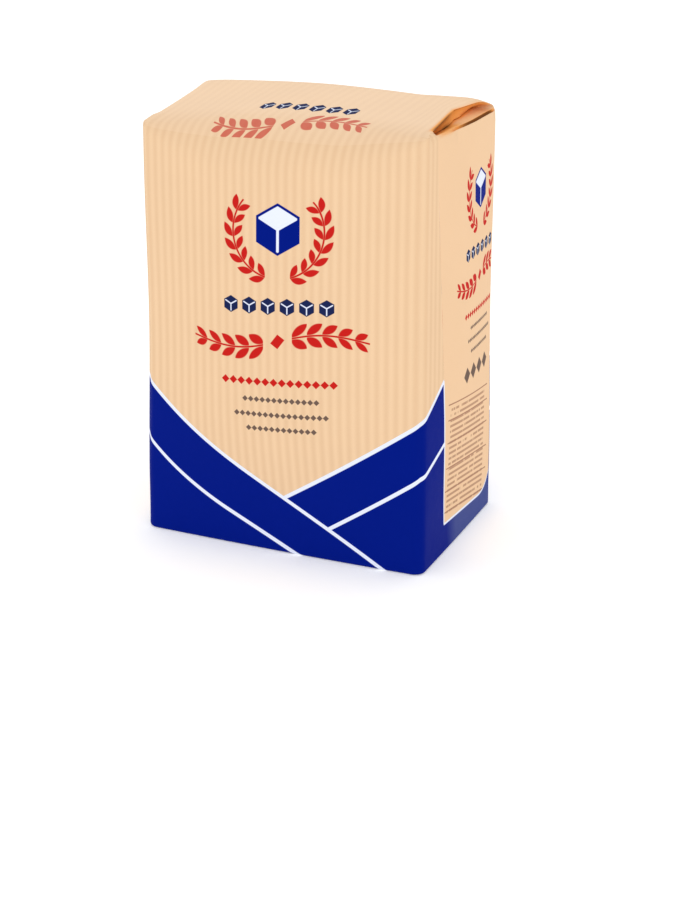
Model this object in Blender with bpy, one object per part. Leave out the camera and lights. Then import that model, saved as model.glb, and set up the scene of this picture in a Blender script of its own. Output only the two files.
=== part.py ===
"""A block-bottomed paper pack of sugar, shut by folding and standing upright.

X runs across the printed front, Y from the front (-Y) to the back, Z up.
The origin is in the middle of the underside. All lengths are in metres.
The pack starts as a box with cut lines where the paper bends. Each point of
it is then moved to where the filled paper lies: round edges, swollen panels,
a folded roof, an open gusset fold above each side, and glued flaps.
"""

import math

import bmesh
import bpy
from mathutils import Vector

# Size of the pack at its corners, before the panels swell
WIDTH = 0.0825
DEPTH = 0.0545
HEIGHT = 0.1235

# Rounding of the four standing edges and of the edges of the base
CORNER_RADIUS = 0.0028
BASE_RADIUS = 0.0009

# The sugar has settled, so the pack is this much wider at its base, and leans a little
BASE_SPREAD = 0.0021
BASE_SPREAD_POWER = 2.5
BASE_SPREAD_DEEP = 0.5
BASE_SHIFT = 0.0004

# How far the filled panels swell past the corners
FRONT_SWELL = 0.0062
BACK_SWELL = 0.0050
SIDE_SWELL = 0.0016
SWELL_AT_BASE = 0.10
SWELL_FULL_HEIGHT = 0.045
SWELL_LOSS_START = 0.65
SWELL_LOSS_AT_TOP = 0.12

# The edges of the roof: soft in the middle, creased tight towards the sides
EDGE_ZONE = 0.020
FRONT_EDGE_MIDDLE = 0.0125
FRONT_EDGE_END = 0.0015
FRONT_EDGE_RAMP = 0.023
BACK_EDGE_MIDDLE = 0.0145
BACK_EDGE_END = 0.008
BACK_EDGE_LEFT_END = 0.015
BACK_EDGE_RAMP = 0.020

# The roof sinks towards its front left corner and a little at the far right one
LEFT_SINK = 0.0043
LEFT_SINK_BACK = 0.0011
LEFT_SINK_START = 0.002
SINK_HOLD = 0.002
SINK_RUN = 0.046
CORNER_SINK = 0.0003
SINK_REACH = 0.035

# The gusset fold above each side, seen as an open mouth under the roof
LIP_ROW = 0.0050
FOLD_STEPS = 4
MOUTH_TIP = 0.0074
MOUTH_RAMP = 0.0060
MOUTH_BACK = 0.0015
MOUTH_BACK_RAMP = 0.0035
MOUTH_DEPTH = 0.0062
ROLL_START = 0.0020
ROLL_DROP = 0.0021
LIP_DROP_TIP = 0.0008
LIP_DROP_BACK = 0.0046
LIP_RAMP = 0.042
VALLEY_DROP = 0.0036
SHELF_SHARE = 0.8
SHELF_FALL = 0.75
PLY = 0.00035

# The roof's edge above the fold: pinched in at the right, and curled down at the far corner
ROOF_EDGE_DROP = 0.0006
ROOF_CURL = 0.0019
ROOF_CURL_START = 0.045
ROOF_CURL_REACH = 0.0060
ROOF_INSET_RIGHT = 0.0065
ROOF_INSET_LEFT = 0.0005
ROOF_INSET_POWER = 0.6
ROOF_INSET_PEAK = 0.035
ROOF_INSET_END = 0.055
ROOF_INSET_REACH = 0.012

# The roof paper carries on over the back edge as a glued-down strip
STRIP_LOW = 0.0165
STRIP_STEP = 0.0004
STRIP_HIGH = 0.0140
STRIP_FADE = 0.0050
STRIP_THICKNESS = 0.0009

# The glued seam down the back panel
SEAM_HALF = 0.0060
SEAM_STEP = 0.0006
SEAM_THICKNESS = 0.0004

# The folded ends of the base lie a little higher than its long flaps
BASE_RECESS = 0.0004
BASE_RECESS_EDGE = 0.002
BASE_RECESS_RAMP = 0.004

# Slow waves where the sugar has settled unevenly: heights, and two wavelengths each
WAVE_FRONT = 0.00025
WAVE_FRONT_LENGTHS = (0.090, 0.078)
WAVE_SIDE = 0.00020
WAVE_SIDE_LENGTHS = (0.105, 0.066)
WAVE_ROOF = 0.00030
WAVE_ROOF_LENGTHS = (0.070, 0.060)
WAVE_FOOT = 0.020
WAVE_ROOF_REACH = 0.0154
WAVE_ROOF_FADE = 0.025

# Spacing of the cut lines across the panels, and the closer ones near their ends
COLUMN_STEP = 0.0065
ROW_STEP = 0.0105
FOOT_ROWS = (0.006, 0.013)
SHOULDER_ROWS = (0.011, 0.008)
SHOULDER_COLUMNS = (0.0045, 0.0115, 0.0155)

# Shading turns sharp where two faces meet at more than this angle
SHARP_ANGLE = math.radians(38.0)

PAPER_COLOUR = (0.89, 0.62, 0.39, 1.0)
PAPER_ROUGHNESS = 0.55

HALF_W = WIDTH / 2
HALF_D = DEPTH / 2
SAME = 1e-6


def ease(t):
    """Rise smoothly from 0 to 1."""
    t = min(max(t, 0.0), 1.0)
    return t * t * (3.0 - 2.0 * t)


def clamp(t):
    """Keep t between 0 and 1."""
    return min(max(t, 0.0), 1.0)


def mix(low, high, share):
    """The value this share of the way from low to high."""
    return low + (high - low) * share


def spread(low, high, step):
    """Evenly spaced positions from low to high, no further apart than step."""
    count = max(1, math.ceil((high - low) / step - SAME))
    return [low + (high - low) * i / count for i in range(count + 1)]


def corner_lines(half):
    """Cut lines that turn a standing edge into four short faces."""
    mid = CORNER_RADIUS * (1.0 - math.tan(math.pi / 8))
    return [half - mid, half - CORNER_RADIUS]


def column_lines():
    """Cut lines across the width, on both sides of the middle."""
    right = [SEAM_HALF, SEAM_HALF + SEAM_STEP]
    right += spread(SEAM_HALF + SEAM_STEP, HALF_W - CORNER_RADIUS, COLUMN_STEP)[1:-1]
    right += corner_lines(HALF_W)
    return [0.0] + right + [-x for x in right]


def depth_lines():
    """Cut lines across the depth, closer together over the roof's edges."""
    inward = [MOUTH_TIP, *SHOULDER_COLUMNS, EDGE_ZONE]
    near = [HALF_D - d for d in inward] + corner_lines(HALF_D)
    return [0.0] + near + [-y for y in near]


def height_lines():
    """Cut lines up the walls, closer together at the foot, the shoulder and the fold."""
    low = [BASE_RADIUS * (1.0 - math.cos(math.pi / 4)), BASE_RADIUS, *FOOT_ROWS]
    middle = spread(FOOT_ROWS[-1], HEIGHT - EDGE_ZONE, ROW_STEP)[1:]
    shoulder = [HEIGHT - d for d in (STRIP_LOW, STRIP_LOW - STRIP_STEP, STRIP_HIGH, *SHOULDER_ROWS)]
    return low + middle + shoulder + spread(HEIGHT - LIP_ROW, HEIGHT, LIP_ROW / FOLD_STEPS)[:-1]


def cut(bm, axis, positions):
    """Add a ring of edges round the box at each position along an axis."""
    normal = Vector((0.0, 0.0, 0.0))
    normal[axis] = 1.0
    for position in sorted(positions):
        geometry = bm.verts[:] + bm.edges[:] + bm.faces[:]
        bmesh.ops.bisect_plane(bm, geom=geometry, dist=SAME, plane_co=normal * position, plane_no=normal)


def round_plan(a, b):
    """Round the standing edges: a square corner becomes a quarter circle."""
    in_a = abs(a) - (HALF_W - CORNER_RADIUS)
    in_b = abs(b) - (HALF_D - CORNER_RADIUS)
    if in_a <= 0.0 or in_b <= 0.0:
        return a, b
    pull = max(in_a, in_b) / math.hypot(in_a, in_b)
    x = HALF_W - CORNER_RADIUS + in_a * pull
    y = HALF_D - CORNER_RADIUS + in_b * pull
    return math.copysign(x, a), math.copysign(y, b)


def base_shrink(c):
    """How far the wall has turned in under the pack at height c."""
    if c >= BASE_RADIUS:
        return 0.0
    rest = BASE_RADIUS - c
    return BASE_RADIUS - math.sqrt(BASE_RADIUS * BASE_RADIUS - rest * rest)


def edge_radius(a, at_back):
    """Radius of the roof's front or back edge at this place across it."""
    if at_back:
        end = BACK_EDGE_END if a > 0.0 else BACK_EDGE_LEFT_END
        return end + (BACK_EDGE_MIDDLE - end) * clamp((HALF_W - abs(a)) / BACK_EDGE_RAMP)
    rise = clamp((HALF_W - abs(a)) / FRONT_EDGE_RAMP)
    return FRONT_EDGE_END + (FRONT_EDGE_MIDDLE - FRONT_EDGE_END) * rise


def round_edge(s, radius):
    """Wrap the paper round the roof's edge.

    s is how far the paper has run past the sharp edge, negative on the wall.
    Returns how far in from the wall and how far below the roof it lies.
    """
    straight = EDGE_ZONE - radius
    bend = math.pi / 2 * radius
    run = (s + EDGE_ZONE) / (2 * EDGE_ZONE) * (2 * straight + bend)
    if run <= straight:
        return 0.0, EDGE_ZONE - run
    if run <= straight + bend:
        angle = (run - straight) / radius
        return radius * (1.0 - math.cos(angle)), radius * (1.0 - math.sin(angle))
    return radius + run - straight - bend, 0.0


def edge_shift(a, b, c):
    """Move of a point, in Y and Z, as the roof's edges are rounded.

    The wall and the roof follow the round exactly. The sides between them
    take a share of both moves, so that they stay evenly divided.
    """
    at_back = b > 0.0
    radius = edge_radius(a, at_back)
    from_edge = HALF_D - abs(b)
    from_roof = HEIGHT - c
    if from_edge >= EDGE_ZONE or from_roof >= EDGE_ZONE:
        return 0.0, 0.0
    share_b = 1.0 - from_edge / EDGE_ZONE
    share_c = 1.0 - from_roof / EDGE_ZONE

    def moved(s, start_in, start_down):
        inward, down = round_edge(s, radius)
        return Vector((inward - start_in, start_down - down))

    over_roof = moved(from_edge, from_edge, 0.0)
    up_wall = moved(-from_roof, 0.0, from_roof)
    corner = moved(0.0, 0.0, 0.0)
    shift = over_roof * share_c + up_wall * share_b - corner * (share_b * share_c)
    return (-shift.x if at_back else shift.x), shift.y


def swell_profile(c):
    """Share of the full swelling at height c: least where the base holds it."""
    rise = SWELL_AT_BASE + (1.0 - SWELL_AT_BASE) * ease(c / SWELL_FULL_HEIGHT)
    loss = SWELL_LOSS_AT_TOP * ease((c / HEIGHT - SWELL_LOSS_START) / (1.0 - SWELL_LOSS_START))
    return rise - loss


def swell(a, b, c):
    """Outward move of a point, in X and Y, as the panels swell."""
    share = swell_profile(c)
    across = 1.0 - (a / HALF_W) ** 2
    along = 1.0 - (b / HALF_D) ** 2
    reach = BACK_SWELL if b > 0.0 else FRONT_SWELL
    return SIDE_SWELL * along * share * a / HALF_W, reach * across * share * b / HALF_D


def wave(place, length):
    """A sine wave of the given length, centred on the pack."""
    return math.cos(2.0 * math.pi * place / length)


def waves(a, b, c):
    """Slow dents and rises of the filled paper, in X, Y and Z."""
    up = c - HEIGHT / 2
    fade = ease(c / WAVE_FOOT)
    dx = WAVE_SIDE * wave(up, WAVE_SIDE_LENGTHS[0]) * wave(b, WAVE_SIDE_LENGTHS[1]) * a / HALF_W
    dy = WAVE_FRONT * wave(a, WAVE_FRONT_LENGTHS[0]) * wave(up, WAVE_FRONT_LENGTHS[1]) * b / HALF_D
    dz = WAVE_ROOF * wave(a, WAVE_ROOF_LENGTHS[0]) * wave(b, WAVE_ROOF_LENGTHS[1])
    dz *= ease(1.0 - (HEIGHT - c) / WAVE_ROOF_REACH) * ease((HALF_D - b) / WAVE_ROOF_FADE)
    return dx * fade, dy * fade, dz


def sink(a, b, c):
    """How far the roof has sunk at this place, fading out down the walls."""
    share = ease((c - (HEIGHT - SINK_REACH)) / SINK_REACH)
    depth = mix(LEFT_SINK, LEFT_SINK_BACK, clamp((b + HALF_D - SINK_HOLD) / SINK_RUN))
    left = depth * ease((-a - LEFT_SINK_START) / (HALF_W - LEFT_SINK_START))
    corner = CORNER_SINK * ease(a / HALF_W) * ease(b / HALF_D)
    return (left + corner) * share


def roof_inset(a, from_front):
    """How far the roof's edge stands back from the side, as it is pinched."""
    most = ROOF_INSET_RIGHT if a > 0.0 else ROOF_INSET_LEFT
    if from_front < ROOF_INSET_PEAK:
        return most * clamp((from_front - ROLL_START) / (ROOF_INSET_PEAK - ROLL_START)) ** ROOF_INSET_POWER
    return most * clamp((ROOF_INSET_END - from_front) / (ROOF_INSET_END - ROOF_INSET_PEAK))


def mouth_opening(b):
    """How far the fold has opened at this depth, from 0 to 1."""
    from_tip = b + HALF_D - MOUTH_TIP
    from_back = HALF_D - b - MOUTH_BACK
    return ease(from_tip / MOUTH_RAMP) * ease(from_back / MOUTH_BACK_RAMP)


def roof_edge_drop(b, from_side=0.0):
    """How far the roof hangs down near its edge, most at its far corner."""
    hang = clamp(1.0 - from_side / ROOF_INSET_REACH) ** 3
    curl = ease((b + HALF_D - ROOF_CURL_START) / (DEPTH - ROOF_CURL_START))
    curl *= clamp(1.0 - from_side / ROOF_CURL_REACH) ** 2
    return ROOF_EDGE_DROP * mouth_opening(b) * hang + ROOF_CURL * curl


def fold_outline(a, b):
    """Corners of the fold, as (in from the side, below the roof), from the lower lip up.

    Where the fold is shut the side rolls softly into the roof. Where it is open
    there is a lip, a shelf, a valley and the underside of the roof's edge.
    """
    from_front = b + HALF_D
    opened = mouth_opening(b)
    inset = roof_inset(a, from_front)
    edge = roof_edge_drop(b)
    lip = mix(LIP_DROP_TIP, LIP_DROP_BACK, clamp((from_front - MOUTH_TIP) / LIP_RAMP))
    valley_in = max(MOUTH_DEPTH, inset + PLY)
    turns = [math.pi / 2 * i / FOLD_STEPS for i in range(FOLD_STEPS + 1)]
    shut = [(inset * (1.0 - math.cos(t)), edge + ROLL_DROP * (1.0 - math.sin(t))) for t in turns]
    wide = [
        (0.0, lip),
        (valley_in * SHELF_SHARE, mix(lip, VALLEY_DROP, SHELF_FALL)),
        (valley_in, VALLEY_DROP),
        (inset + PLY, edge + PLY),
        (inset, edge),
    ]
    return [(mix(s[0], w[0], opened), mix(s[1], w[1], opened)) for s, w in zip(shut, wide)]


def open_fold(a, b, c):
    """Move of a point, in X and Z, that opens the fold above each side."""
    from_front = b + HALF_D
    from_side = HALF_W - abs(a)
    share = clamp((c - HEIGHT + LIP_ROW) / LIP_ROW)
    hang = -roof_edge_drop(b, from_side) * share
    if abs(c - HEIGHT) < SAME:
        reach = clamp(1.0 - from_side / ROOF_INSET_REACH)
        return -math.copysign(roof_inset(a, from_front) * reach, a), hang
    if from_side > SAME or c < HEIGHT - LIP_ROW - SAME:
        return 0.0, hang
    gathered = clamp((from_front - ROLL_START) / CORNER_RADIUS) * clamp((HALF_D - b) / CORNER_RADIUS)
    inward, drop = fold_outline(a, b)[round(share * FOLD_STEPS)]
    return -math.copysign(inward * gathered, a), mix(hang, HEIGHT - c - drop, gathered)


def back_relief(a, b, c):
    """Thickness of the glued strip and seam on the back panel."""
    if b < HALF_D - SAME:
        return 0.0
    down = HEIGHT - c
    if down < STRIP_LOW - SAME:
        fade = clamp((down - STRIP_FADE) / (STRIP_HIGH - STRIP_FADE))
        side = clamp((HALF_W - abs(a)) / CORNER_RADIUS)
        return STRIP_THICKNESS * fade * side
    if abs(a) <= SEAM_HALF + SAME and c > BASE_RADIUS - SAME:
        return SEAM_THICKNESS
    return 0.0


def base_relief(a, b, c):
    """Height of the folded ends of the base above its long flaps."""
    if c > SAME:
        return 0.0
    past_fold = abs(a) - (HALF_W - HALF_D) - abs(b)
    fold = clamp((past_fold - BASE_RECESS_EDGE) / BASE_RECESS_RAMP)
    rim = clamp((HALF_W - abs(a) - BASE_RECESS_EDGE) / BASE_RECESS_RAMP)
    return BASE_RECESS * fold * rim


def place(co):
    """Where a point of the plain box lies on the filled pack."""
    a, b, c = co
    x, y = round_plan(a, b)
    shrink = base_shrink(c)
    x *= 1.0 - shrink / HALF_W
    y *= 1.0 - shrink / HALF_D
    fold_x, fold_z = open_fold(a, b, c)
    edge_y, edge_z = edge_shift(a, b, c + fold_z)
    settled = (1.0 - c / HEIGHT) ** BASE_SPREAD_POWER
    x += settled * (BASE_SPREAD * x / WIDTH - BASE_SHIFT)
    y += settled * BASE_SPREAD * BASE_SPREAD_DEEP * y / DEPTH
    swell_x, swell_y = swell(a, b, c)
    wave_x, wave_y, wave_z = waves(a, b, c)
    x += swell_x + wave_x + fold_x
    y += edge_y + swell_y + wave_y + back_relief(a, b, c)
    z = c + edge_z + wave_z + fold_z + base_relief(a, b, c) - sink(a, b, c)
    return Vector((x, y, z))


def build_pack():
    """The whole pack as one closed mesh, centred over the origin."""
    bm = bmesh.new()
    bmesh.ops.create_cube(bm, size=1.0)
    bmesh.ops.scale(bm, vec=(WIDTH, DEPTH, HEIGHT), verts=bm.verts)
    bmesh.ops.translate(bm, vec=(0.0, 0.0, HEIGHT / 2), verts=bm.verts)
    cut(bm, 0, column_lines())
    cut(bm, 1, depth_lines())
    cut(bm, 2, height_lines())
    for vert in bm.verts:
        vert.co = place(vert.co)
    front = min(vert.co.y for vert in bm.verts)
    back = max(vert.co.y for vert in bm.verts)
    bmesh.ops.translate(bm, vec=(0.0, -(front + back) / 2, 0.0), verts=bm.verts)
    bmesh.ops.recalc_face_normals(bm, faces=bm.faces)
    mesh = bpy.data.meshes.new("sugar_pack")
    bm.to_mesh(mesh)
    bm.free()
    mesh.shade_smooth()
    mesh.set_sharp_from_angle(angle=SHARP_ANGLE)
    return mesh


def paper():
    """Pale peach coated paper."""
    material = bpy.data.materials.new("printed_paper")
    material.use_nodes = True
    shader = material.node_tree.nodes["Principled BSDF"]
    shader.inputs["Base Color"].default_value = PAPER_COLOUR
    shader.inputs["Roughness"].default_value = PAPER_ROUGHNESS
    shader.inputs["Metallic"].default_value = 0.0
    return material


for old in list(bpy.data.objects):
    bpy.data.objects.remove(old, do_unlink=True)

pack = bpy.data.objects.new("sugar_pack", build_pack())
pack.data.materials.append(paper())
bpy.context.scene.collection.objects.link(pack)
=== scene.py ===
# %% [markdown]
# # A paper pack of brown sugar
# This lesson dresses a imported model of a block-bottomed paper pack. Such a pack is one sheet of
# paper, wrapped round a block, glued down the back, and shut by folding the top over. The solid
# that carries the collision is already made. Here it gets its fine folds, its paper and its print.
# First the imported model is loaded. It is the fixed frame that everything else is measured in.

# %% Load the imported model
import math

import bmesh
import bpy
from mathutils import Matrix, Vector


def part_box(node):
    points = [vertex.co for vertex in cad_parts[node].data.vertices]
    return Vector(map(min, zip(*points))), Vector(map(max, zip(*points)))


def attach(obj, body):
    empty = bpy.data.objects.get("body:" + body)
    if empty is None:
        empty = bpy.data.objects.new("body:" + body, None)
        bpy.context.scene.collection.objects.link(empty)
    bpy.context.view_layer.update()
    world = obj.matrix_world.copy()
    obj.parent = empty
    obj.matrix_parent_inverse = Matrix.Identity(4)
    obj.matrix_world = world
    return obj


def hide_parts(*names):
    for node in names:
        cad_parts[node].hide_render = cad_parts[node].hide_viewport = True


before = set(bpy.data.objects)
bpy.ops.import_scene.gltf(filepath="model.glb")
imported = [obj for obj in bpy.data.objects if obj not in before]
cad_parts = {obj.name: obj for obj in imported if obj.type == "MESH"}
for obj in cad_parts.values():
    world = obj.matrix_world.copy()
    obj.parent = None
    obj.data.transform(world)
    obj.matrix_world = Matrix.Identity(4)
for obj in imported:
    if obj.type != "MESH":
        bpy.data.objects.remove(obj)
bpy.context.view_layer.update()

pack_low, pack_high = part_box("sugar_pack")

# %% [markdown]
# ## The size of the pack
# These are the same driving sizes that the solid was made from, in metres. The real pack was
# drawn by its maker as a plain box, and the sugar then pushed the panels out. The model follows
# that: it starts as a box, and every point is moved to where the filled paper lies.

# %% Sizes of the box and of its folds
WIDTH = 0.0825
DEPTH = 0.0545
HEIGHT = 0.1235
HALF_W = WIDTH / 2
HALF_D = DEPTH / 2

CORNER_RADIUS = 0.0028
BASE_RADIUS = 0.0009
BASE_SPREAD = 0.0021
BASE_SPREAD_POWER = 2.5
BASE_SPREAD_DEEP = 0.5
BASE_SHIFT = 0.0004

FRONT_SWELL = 0.0062
BACK_SWELL = 0.0050
SIDE_SWELL = 0.0016
SWELL_AT_BASE = 0.10
SWELL_FULL_HEIGHT = 0.045
SWELL_LOSS_START = 0.65
SWELL_LOSS_AT_TOP = 0.12

EDGE_ZONE = 0.020
FRONT_EDGE_MIDDLE = 0.0125
FRONT_EDGE_END = 0.0015
FRONT_EDGE_RAMP = 0.023
BACK_EDGE_MIDDLE = 0.0145
BACK_EDGE_END = 0.008
BACK_EDGE_LEFT_END = 0.015
BACK_EDGE_RAMP = 0.020

LEFT_SINK = 0.0043
LEFT_SINK_BACK = 0.0011
LEFT_SINK_START = 0.002
SINK_HOLD = 0.002
SINK_RUN = 0.046
CORNER_SINK = 0.0003
SINK_REACH = 0.035

WAVE_FRONT = 0.00025
WAVE_FRONT_LENGTHS = (0.090, 0.078)
WAVE_SIDE = 0.00020
WAVE_SIDE_LENGTHS = (0.105, 0.066)
WAVE_ROOF = 0.00030
WAVE_ROOF_LENGTHS = (0.070, 0.060)
WAVE_FOOT = 0.020
WAVE_ROOF_REACH = 0.0154
WAVE_ROOF_FADE = 0.025

STRIP_LOW = 0.0165
STRIP_STEP = 0.0004
STRIP_HIGH = 0.0140
STRIP_FADE = 0.0050
STRIP_THICKNESS = 0.0009
SEAM_HALF = 0.0060
SEAM_STEP = 0.0006
SEAM_THICKNESS = 0.0004
BASE_RECESS = 0.0004
BASE_RECESS_EDGE = 0.002
BASE_RECESS_RAMP = 0.004

SAME = 1e-6
print("box of", WIDTH, DEPTH, HEIGHT, "m; volume in litres:", round(1000 * WIDTH * DEPTH * HEIGHT, 2))


# %% Helpers for soft changes and even steps
def ease(t):
    """Rise smoothly from 0 to 1."""
    t = min(max(t, 0.0), 1.0)
    return t * t * (3.0 - 2.0 * t)


def clamp(t):
    """Keep t between 0 and 1."""
    return min(max(t, 0.0), 1.0)


def mix(low, high, share):
    """The value this share of the way from low to high."""
    return low + (high - low) * share


def spread(low, high, step):
    """Evenly spaced positions from low to high, no further apart than step."""
    count = max(1, math.ceil((high - low) / step - SAME))
    return [low + (high - low) * i / count for i in range(count + 1)]


print("five even steps:", spread(0.0, 1.0, 0.2))

# %% [markdown]
# ## Where the paper bends
# A bend needs a row of edges to bend along. The box is cut by flat planes: closely where the
# paper turns a corner, and evenly over the panels, so that each panel can carry slow waves and
# small dents. The bisect_plane operator adds one ring of edges for each plane.

# %% Cut lines across the width, the depth and the height
PANEL_STEP = 0.0016
CORNER_STEPS = 4
LIP_ROW = 0.0050
FOLD_STEPS = 12


def corner_lines(half):
    """Cut lines that turn a standing edge in equal angles."""
    turns = [math.tan(math.pi / 4 * i / CORNER_STEPS) for i in range(CORNER_STEPS)]
    return [half - CORNER_RADIUS * (1.0 - turn) for turn in turns]


def column_lines():
    """Cut lines across the width, on both sides of the middle."""
    right = spread(0.0, SEAM_HALF, PANEL_STEP)[1:]
    right += spread(SEAM_HALF + SEAM_STEP, HALF_W - CORNER_RADIUS, PANEL_STEP)[:-1]
    right += corner_lines(HALF_W)
    return [0.0] + right + [-x for x in right]


def depth_lines():
    """Cut lines across the depth, on both sides of the middle."""
    back = spread(0.0, HALF_D - CORNER_RADIUS, PANEL_STEP)[1:-1] + corner_lines(HALF_D)
    return [0.0] + back + [-y for y in back]


def height_lines():
    """Cut lines up the walls, closest together where the fold opens."""
    low = spread(0.0, BASE_RADIUS, BASE_RADIUS / 4)[1:]
    strip = HEIGHT - STRIP_LOW
    low += spread(BASE_RADIUS, strip, PANEL_STEP)[1:]
    low += spread(strip + STRIP_STEP, HEIGHT - LIP_ROW, PANEL_STEP)
    return low + spread(HEIGHT - LIP_ROW, HEIGHT, LIP_ROW / FOLD_STEPS)[1:-1]


def cut(bm, axis, positions):
    """Add a ring of edges round the box at each position along an axis."""
    normal = Vector((0.0, 0.0, 0.0))
    normal[axis] = 1.0
    for position in sorted(positions):
        geometry = bm.verts[:] + bm.edges[:] + bm.faces[:]
        bmesh.ops.bisect_plane(bm, geom=geometry, dist=SAME, plane_co=normal * position, plane_no=normal)


print("rings of edges:", len(column_lines()), len(depth_lines()), len(height_lines()))

# %% [markdown]
# ## Round edges and swollen panels
# The standing edges are small quarter circles. The roof's front and back edges are soft in the
# middle, where the sugar fills them, and creased tight towards the sides, where the paper is
# folded. Each panel swells like a cushion, least at the base, which is glued flat.


# %% Round the standing edges and the foot
def round_plan(a, b):
    """Round the standing edges: a square corner becomes a quarter circle."""
    in_a = abs(a) - (HALF_W - CORNER_RADIUS)
    in_b = abs(b) - (HALF_D - CORNER_RADIUS)
    if in_a <= 0.0 or in_b <= 0.0:
        return a, b
    pull = max(in_a, in_b) / math.hypot(in_a, in_b)
    x = HALF_W - CORNER_RADIUS + in_a * pull
    y = HALF_D - CORNER_RADIUS + in_b * pull
    return math.copysign(x, a), math.copysign(y, b)


def base_shrink(c):
    """How far the wall has turned in under the pack at height c."""
    if c >= BASE_RADIUS:
        return 0.0
    rest = BASE_RADIUS - c
    return BASE_RADIUS - math.sqrt(BASE_RADIUS * BASE_RADIUS - rest * rest)


# %% Round the roof's front and back edges
def edge_radius(a, at_back):
    """Radius of the roof's front or back edge at this place across it."""
    if at_back:
        end = BACK_EDGE_END if a > 0.0 else BACK_EDGE_LEFT_END
        return end + (BACK_EDGE_MIDDLE - end) * clamp((HALF_W - abs(a)) / BACK_EDGE_RAMP)
    rise = clamp((HALF_W - abs(a)) / FRONT_EDGE_RAMP)
    return FRONT_EDGE_END + (FRONT_EDGE_MIDDLE - FRONT_EDGE_END) * rise


def round_edge(s, radius):
    """How far in and how far down the paper lies, s past the sharp edge."""
    straight = EDGE_ZONE - radius
    bend = math.pi / 2 * radius
    run = (s + EDGE_ZONE) / (2 * EDGE_ZONE) * (2 * straight + bend)
    if run <= straight:
        return 0.0, EDGE_ZONE - run
    if run <= straight + bend:
        angle = (run - straight) / radius
        return radius * (1.0 - math.cos(angle)), radius * (1.0 - math.sin(angle))
    return radius + run - straight - bend, 0.0


def edge_shift(a, b, c):
    """Move of a point, in Y and Z, as the roof's edges are rounded."""
    radius = edge_radius(a, b > 0.0)
    from_edge = HALF_D - abs(b)
    from_roof = HEIGHT - c
    if from_edge >= EDGE_ZONE or from_roof >= EDGE_ZONE:
        return 0.0, 0.0
    share_b = 1.0 - from_edge / EDGE_ZONE
    share_c = 1.0 - from_roof / EDGE_ZONE

    def moved(s, start_in, start_down):
        inward, down = round_edge(s, radius)
        return Vector((inward - start_in, start_down - down))

    over_roof = moved(from_edge, from_edge, 0.0)
    up_wall = moved(-from_roof, 0.0, from_roof)
    corner = moved(0.0, 0.0, 0.0)
    shift = over_roof * share_c + up_wall * share_b - corner * (share_b * share_c)
    return (-shift.x if b > 0.0 else shift.x), shift.y


# %% Swell the panels and let the roof sink
def swell(a, b, c):
    """Outward move of a point, in X and Y, as the panels swell."""
    rise = SWELL_AT_BASE + (1.0 - SWELL_AT_BASE) * ease(c / SWELL_FULL_HEIGHT)
    share = rise - SWELL_LOSS_AT_TOP * ease((c / HEIGHT - SWELL_LOSS_START) / (1.0 - SWELL_LOSS_START))
    across = 1.0 - (a / HALF_W) ** 2
    along = 1.0 - (b / HALF_D) ** 2
    reach = BACK_SWELL if b > 0.0 else FRONT_SWELL
    return SIDE_SWELL * along * share * a / HALF_W, reach * across * share * b / HALF_D


def wave(place, length):
    """A sine wave of the given length, centred on the pack."""
    return math.cos(2.0 * math.pi * place / length)


def waves(a, b, c):
    """Slow dents and rises of the filled paper, in X, Y and Z."""
    up = c - HEIGHT / 2
    fade = ease(c / WAVE_FOOT)
    dx = WAVE_SIDE * wave(up, WAVE_SIDE_LENGTHS[0]) * wave(b, WAVE_SIDE_LENGTHS[1]) * a / HALF_W
    dy = WAVE_FRONT * wave(a, WAVE_FRONT_LENGTHS[0]) * wave(up, WAVE_FRONT_LENGTHS[1]) * b / HALF_D
    dz = WAVE_ROOF * wave(a, WAVE_ROOF_LENGTHS[0]) * wave(b, WAVE_ROOF_LENGTHS[1])
    dz *= ease(1.0 - (HEIGHT - c) / WAVE_ROOF_REACH) * ease((HALF_D - b) / WAVE_ROOF_FADE)
    return dx * fade, dy * fade, dz


def sink(a, b, c):
    """How far the roof has sunk at this place, fading out down the walls."""
    share = ease((c - (HEIGHT - SINK_REACH)) / SINK_REACH)
    depth = mix(LEFT_SINK, LEFT_SINK_BACK, clamp((b + HALF_D - SINK_HOLD) / SINK_RUN))
    left = depth * ease((-a - LEFT_SINK_START) / (HALF_W - LEFT_SINK_START))
    corner = CORNER_SINK * ease(a / HALF_W) * ease(b / HALF_D)
    return (left + corner) * share


print("swelling in the middle of the front:", round(1000 * swell(0, -HALF_D, HEIGHT / 2)[1], 1), "mm")

# %% [markdown]
# ## The open fold above each side
# When such a pack is shut, the side panels are tucked in and the front panel is folded over
# them. The tucks have sprung open a little, the right one more, so there is a mouth with two
# lips: the roof's edge above, and the top of the side panel below. Its outline is a short list
# of corners, found again at each step from the front to the back.

# %% Sizes of the open fold
MOUTH_TIP = 0.0074
MOUTH_RAMP = 0.0060
MOUTH_BACK = 0.0015
MOUTH_BACK_RAMP = 0.0035
MOUTH_DEPTH = 0.0062
ROLL_START = 0.0020
ROLL_DROP = 0.0021
LIP_DROP_TIP = 0.0008
LIP_DROP_BACK = 0.0046
LIP_RAMP = 0.042
VALLEY_DROP = 0.0036
ROOF_EDGE_DROP = 0.0006
ROOF_CURL = 0.0019
ROOF_CURL_START = 0.045
ROOF_CURL_REACH = 0.0060
HANG_POWER = 3
CURL_POWER = 2
ROOF_INSET_RIGHT = 0.0065
ROOF_INSET_LEFT = 0.0005
ROOF_INSET_POWER = 0.6
ROOF_INSET_PEAK = 0.035
ROOF_INSET_END = 0.055
ROOF_INSET_REACH = 0.012
print("the fold opens", round(1000 * MOUTH_TIP, 1), "mm behind the front edge")


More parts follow.
